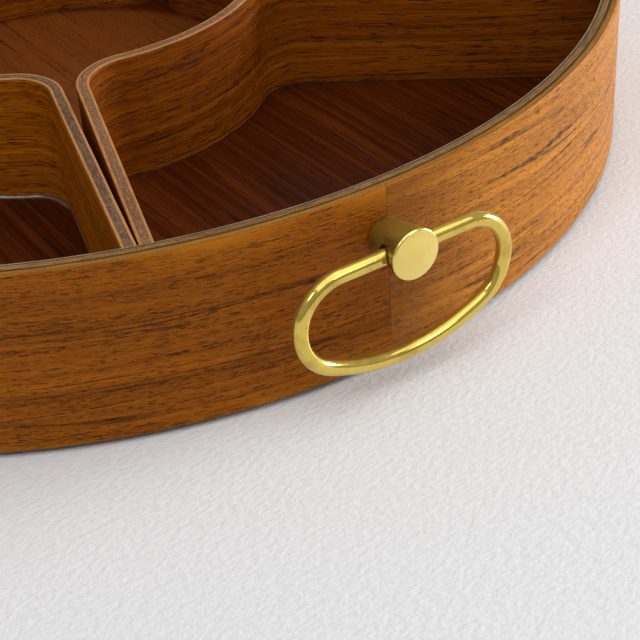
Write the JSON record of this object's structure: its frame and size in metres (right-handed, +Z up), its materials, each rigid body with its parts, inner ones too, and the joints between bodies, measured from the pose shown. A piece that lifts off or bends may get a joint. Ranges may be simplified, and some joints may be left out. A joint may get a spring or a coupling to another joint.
{
  "type": "lazy susan turntable",
  "caption": "Round turning serving tray: a bent-ply teak hoop on a thin floor, bent dividers round a centre well, and brass ring handles that swing on turned posts.",
  "frame": {"origin": "centre of the underside, on the table", "axes": "+Z up along the turning axis; the two handles are on -Y (front) and +Y (back)"},
  "size_m": [0.438, 0.473, 0.0625],
  "materials": {
    "teak_outer_veneer": "oiled teak veneer, straight grain along the strip",
    "teak_inner_veneer": "oiled teak veneer, straight grain along the strip",
    "rim_ply_tan": "ply, edge sealed with clear lacquer",
    "rim_crossband_dark": "cross-grained ply",
    "teak_floor_veneer": "oiled teak veneer, straight grain across the tray",
    "floor_plywood": "plywood",
    "divider_teak_veneer": "oiled teak veneer, straight grain along the strip",
    "divider_core": "ply, edge sealed with clear lacquer",
    "brass_polished": "polished",
    "brass_turned": "turned, polished face",
    "brass_fastener": "bright",
    "brass_cage": "stamped",
    "bronze_bush": "turned",
    "steel_race": "turned",
    "steel_ball": "ground",
    "steel_hub": "turned",
    "zinc_screw": "zinc plated",
    "base_plywood": "teak-faced plywood, lacquered",
    "rubber_feet": "matt"
  },
  "bodies": {
    "base": {"base_bush": "bronze_bush", "base_disc": "base_plywood", "base_feet": "rubber_feet", "lower_race": "steel_race", "lower_race_screws": "zinc_screw"},
    "cage": {"ball_cage": "brass_cage", "bearing_balls": "steel_ball"},
    "ring_front": {"handle_ring_front": "brass_polished"},
    "ring_back": {"handle_ring_back": "brass_polished"},
    "tray": {"divider_1_core": "divider_core", "divider_1_inside_veneer": "divider_teak_veneer", "divider_1_outside_veneer": "divider_teak_veneer", "divider_2_core": "divider_core", "divider_2_inside_veneer": "divider_teak_veneer", "divider_2_outside_veneer": "divider_teak_veneer", "divider_3_core": "divider_core", "divider_3_inside_veneer": "divider_teak_veneer", "divider_3_outside_veneer": "divider_teak_veneer", "divider_4_core": "divider_core", "divider_4_inside_veneer": "divider_teak_veneer", "divider_4_outside_veneer": "divider_teak_veneer", "divider_5_core": "divider_core", "divider_5_inside_veneer": "divider_teak_veneer", "divider_5_outside_veneer": "divider_teak_veneer", "floor_bottom_veneer": "teak_floor_veneer", "floor_core": "floor_plywood", "floor_top_veneer": "teak_floor_veneer", "handle_post_back": "brass_turned", "handle_post_front": "brass_turned", "handle_screw_back": "brass_fastener", "handle_screw_front": "brass_fastener", "handle_washer_back": "brass_fastener", "handle_washer_front": "brass_fastener", "pivot_hub": "steel_hub", "pivot_hub_screws": "zinc_screw", "pivot_screw": "zinc_screw", "pivot_washer": "zinc_screw", "rim_crossband": "rim_crossband_dark", "rim_inner_crossband": "rim_crossband_dark", "rim_inner_ply": "rim_ply_tan", "rim_inner_veneer": "teak_inner_veneer", "rim_outer_ply": "rim_ply_tan", "rim_outer_veneer_east": "teak_outer_veneer", "rim_outer_veneer_west": "teak_outer_veneer", "upper_race": "steel_race", "upper_race_screws": "zinc_screw"}
  },
  "joints": [
    {"name": "tray_spin", "type": "hinge", "parent": "base", "child": "tray", "pos_m": [0, 0, 0], "axis": [0, 0, 1], "continuous": true},
    {"name": "cage_spin", "type": "hinge", "parent": "base", "child": "cage", "pos_m": [0, 0, 0], "axis": [0, 0, 1], "continuous": true},
    {"name": "ring_front_swing", "type": "hinge", "parent": "tray", "child": "ring_front", "pos_m": [0, -0.2294, 0.0469], "axis": [-1, 0, 0], "range_deg": [-12, 212]},
    {"name": "ring_back_swing", "type": "hinge", "parent": "tray", "child": "ring_back", "pos_m": [0, 0.2294, 0.0469], "axis": [1, 0, 0], "range_deg": [-12, 212]}
  ],
  "couplings": [
    {"joint": "cage_spin", "follows": "tray_spin", "ratio": 0.5}
  ]
}
